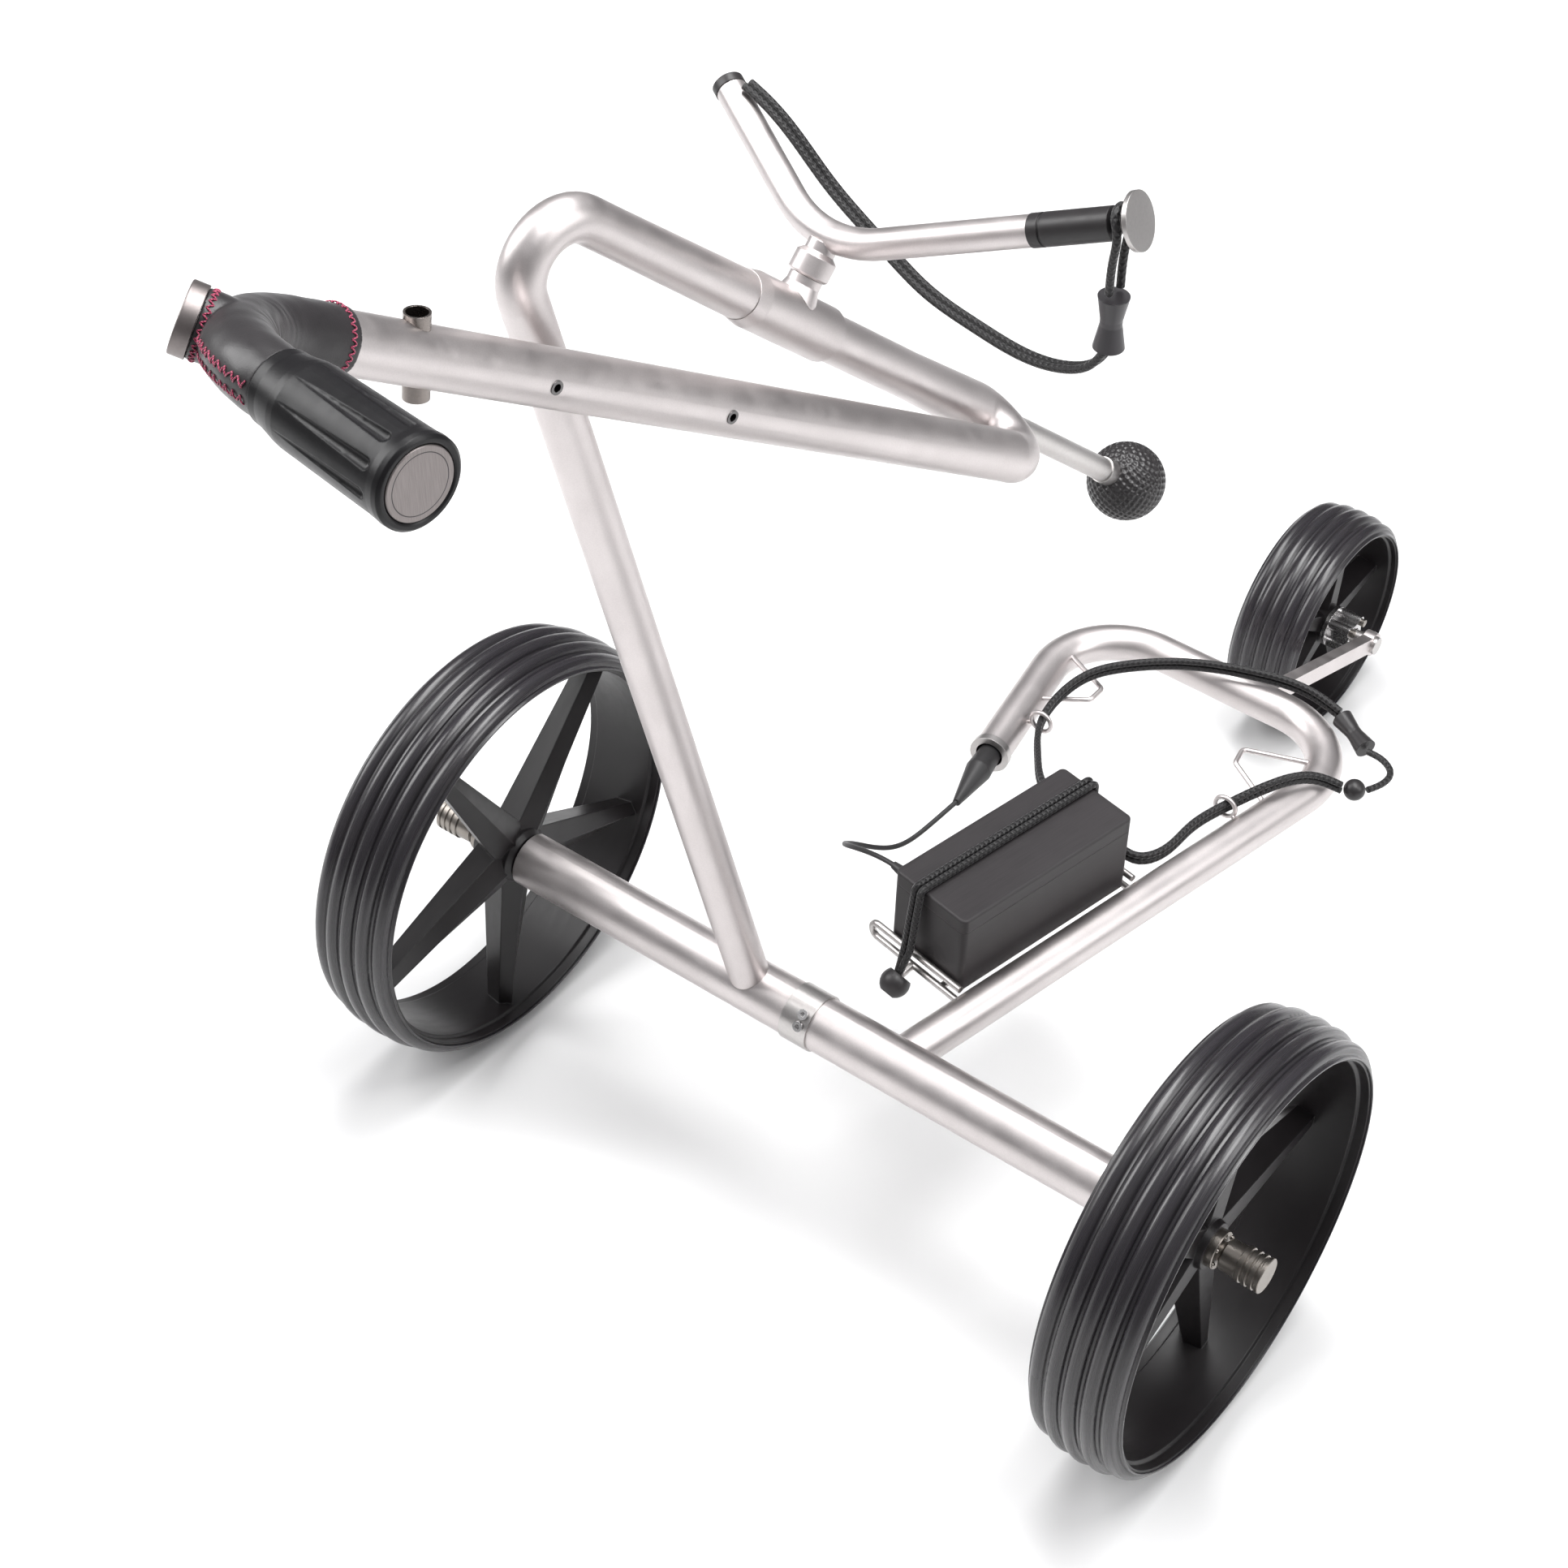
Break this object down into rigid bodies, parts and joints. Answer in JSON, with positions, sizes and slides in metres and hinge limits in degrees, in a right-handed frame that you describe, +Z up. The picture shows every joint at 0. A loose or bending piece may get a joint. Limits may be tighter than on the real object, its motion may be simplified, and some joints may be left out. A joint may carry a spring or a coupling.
{
  "type": "electric golf trolley",
  "caption": "Tubular three-wheeled electric golf trolley with in-axle drive, bent drawbar, leather-wrapped twist-grip handle, bag supports and strapped battery.",
  "frame": {"origin": "on the ground under the middle of the overall box", "axes": "+Y forward in the direction of travel, +X to the right, +Z up"},
  "size_m": [0.598, 1.0485, 0.8091],
  "materials": {
    "titanium": "satin blasted titanium",
    "polished": "bright turned metal",
    "steel": "machined",
    "dark_steel": "dark",
    "chrome": "polished",
    "battery": "satin charcoal",
    "cells": "sleeved",
    "cord": "elastic cord",
    "rubber": "satin",
    "cable": "matt",
    "cordlock": "satin grey",
    "board": "circuit board",
    "plastic": "satin",
    "leather": "smooth charcoal leather",
    "grip": "satin black",
    "button": "satin",
    "knob": "satin charcoal",
    "rim": "satin black",
    "tyre": "ribbed",
    "copper": "wound copper"
  },
  "bodies": {
    "chassis": {"axle_tube_right": "titanium", "axle_clamp_ring": "polished", "clamp_screws": "dark_steel", "lower_frame_tube": "titanium", "frame_end_socket": "polished", "battery_cradle": "polished", "frame_wire_loops": "titanium", "front_strut": "titanium", "front_axle": "polished", "battery_case": "battery", "battery_lid": "battery", "battery_cells": "cells", "battery_strap": "cord", "strap_button": "rubber", "battery_cable": "cable", "lower_cord": "cord", "lower_cord_locks": "cordlock", "motor_controller": "board", "gearmotor_right": "steel", "axle_bearing_right": "steel"},
    "drawbar": {"axle_tube_left": "titanium", "axle_spigot": "steel", "gearmotor_left": "steel", "axle_bearing_left": "steel", "column_tube": "titanium", "socket_sleeve": "titanium", "yoke_stem": "titanium"},
    "reach": {"guide_bush": "plastic"},
    "handle": {"handle_bar": "titanium", "umbrella_socket": "titanium", "accessory_inserts": "dark_steel", "leather_cover": "leather", "leather_end_cap": "chrome", "throttle_sensor": "plastic"},
    "throttle": {"throttle_grip": "grip"},
    "power_button": {"end_button": "button"},
    "lock_rod": {"lock_rod": "polished", "ball_knob": "knob"},
    "lock_wedge": {"lock_wedge": "steel"},
    "yoke": {"yoke_tube": "titanium", "yoke_end_ring": "rubber", "yoke_spool": "rubber", "yoke_disc": "polished", "upper_cord": "cord", "upper_cord_lock": "cordlock"},
    "wheel_left": {"rear_tyre_left": "tyre", "rear_rim_left": "rim", "drive_shaft_left": "steel"},
    "wheel_right": {"rear_tyre_right": "tyre", "rear_rim_right": "rim", "drive_shaft_right": "steel"},
    "knob_left": {"release_knob_left": "polished"},
    "knob_right": {"release_knob_right": "polished"},
    "rotor_left": {"rotor_left": "copper"},
    "rotor_right": {"rotor_right": "copper"},
    "front_wheel": {"front_tyre": "tyre", "front_rim": "rim", "front_bearings": "steel", "front_hub_block": "polished", "front_hub_bolts": "steel"}
  },
  "joints": [
    {"name": "axle_fold", "type": "hinge", "parent": "chassis", "child": "drawbar", "pos_m": [0, -0.1335, 0.14], "axis": [-1, 0, 0], "range_deg": [-40, 12]},
    {"name": "handle_reach", "type": "slide", "parent": "drawbar", "child": "reach", "axis": [0.1522, 0.7423, -0.6525], "range_m": [-0.009, 0.03]},
    {"name": "handle_swing", "type": "hinge", "parent": "reach", "child": "handle", "pos_m": [-0.07043, -0.0716, 0.57031], "axis": [-0.1522, -0.7423, 0.6525], "range_deg": [0, 40]},
    {"name": "throttle_turn", "type": "hinge", "parent": "handle", "child": "throttle", "pos_m": [-0.10918, -0.47576, 0.78201], "axis": [0.9841, -0.1735, 0.0384], "range_deg": [0, 90]},
    {"name": "power_button_press", "type": "slide", "parent": "throttle", "child": "power_button", "axis": [-0.9841, 0.1735, -0.0384], "range_m": [0, 0.0015]},
    {"name": "lock_knob_turn", "type": "hinge", "parent": "reach", "child": "lock_rod", "pos_m": [-0.01874, 0.18049, 0.34871], "axis": [0.1522, 0.7423, -0.6525], "range_deg": [0, 720]},
    {"name": "lock_wedge_slide", "type": "slide", "parent": "reach", "child": "lock_wedge", "axis": [0.1522, 0.7423, -0.6525], "range_m": [0, 0.0021]},
    {"name": "yoke_turn", "type": "hinge", "parent": "drawbar", "child": "yoke", "pos_m": [-0.07551, -0.09639, 0.5921], "axis": [0.0631, 0.6516, 0.756], "range_deg": [-12, 12]},
    {"name": "wheel_left_spin", "type": "hinge", "parent": "drawbar", "child": "wheel_left", "pos_m": [0, -0.1335, 0.14], "axis": [-1, 0, 0], "continuous": true},
    {"name": "wheel_right_spin", "type": "hinge", "parent": "chassis", "child": "wheel_right", "pos_m": [0, -0.1335, 0.14], "axis": [-1, 0, 0], "continuous": true},
    {"name": "release_left_pull", "type": "slide", "parent": "wheel_left", "child": "knob_left", "axis": [-1, 0, 0], "range_m": [0, 0.004]},
    {"name": "release_right_pull", "type": "slide", "parent": "wheel_right", "child": "knob_right", "axis": [1, 0, 0], "range_m": [0, 0.004]},
    {"name": "motor_left_spin", "type": "hinge", "parent": "drawbar", "child": "rotor_left", "pos_m": [0, -0.1335, 0.14], "axis": [-1, 0, 0], "continuous": true},
    {"name": "motor_right_spin", "type": "hinge", "parent": "chassis", "child": "rotor_right", "pos_m": [0, -0.1335, 0.14], "axis": [-1, 0, 0], "continuous": true},
    {"name": "front_wheel_spin", "type": "hinge", "parent": "chassis", "child": "front_wheel", "pos_m": [0, 0.4429, 0.0814], "axis": [-1, 0, 0], "continuous": true}
  ],
  "couplings": [
    {"joint": "lock_wedge_slide", "follows": "lock_knob_turn", "m_per_rad": 0.00015915},
    {"joint": "motor_left_spin", "follows": "wheel_left_spin", "ratio": 12},
    {"joint": "motor_right_spin", "follows": "wheel_right_spin", "ratio": 12}
  ]
}
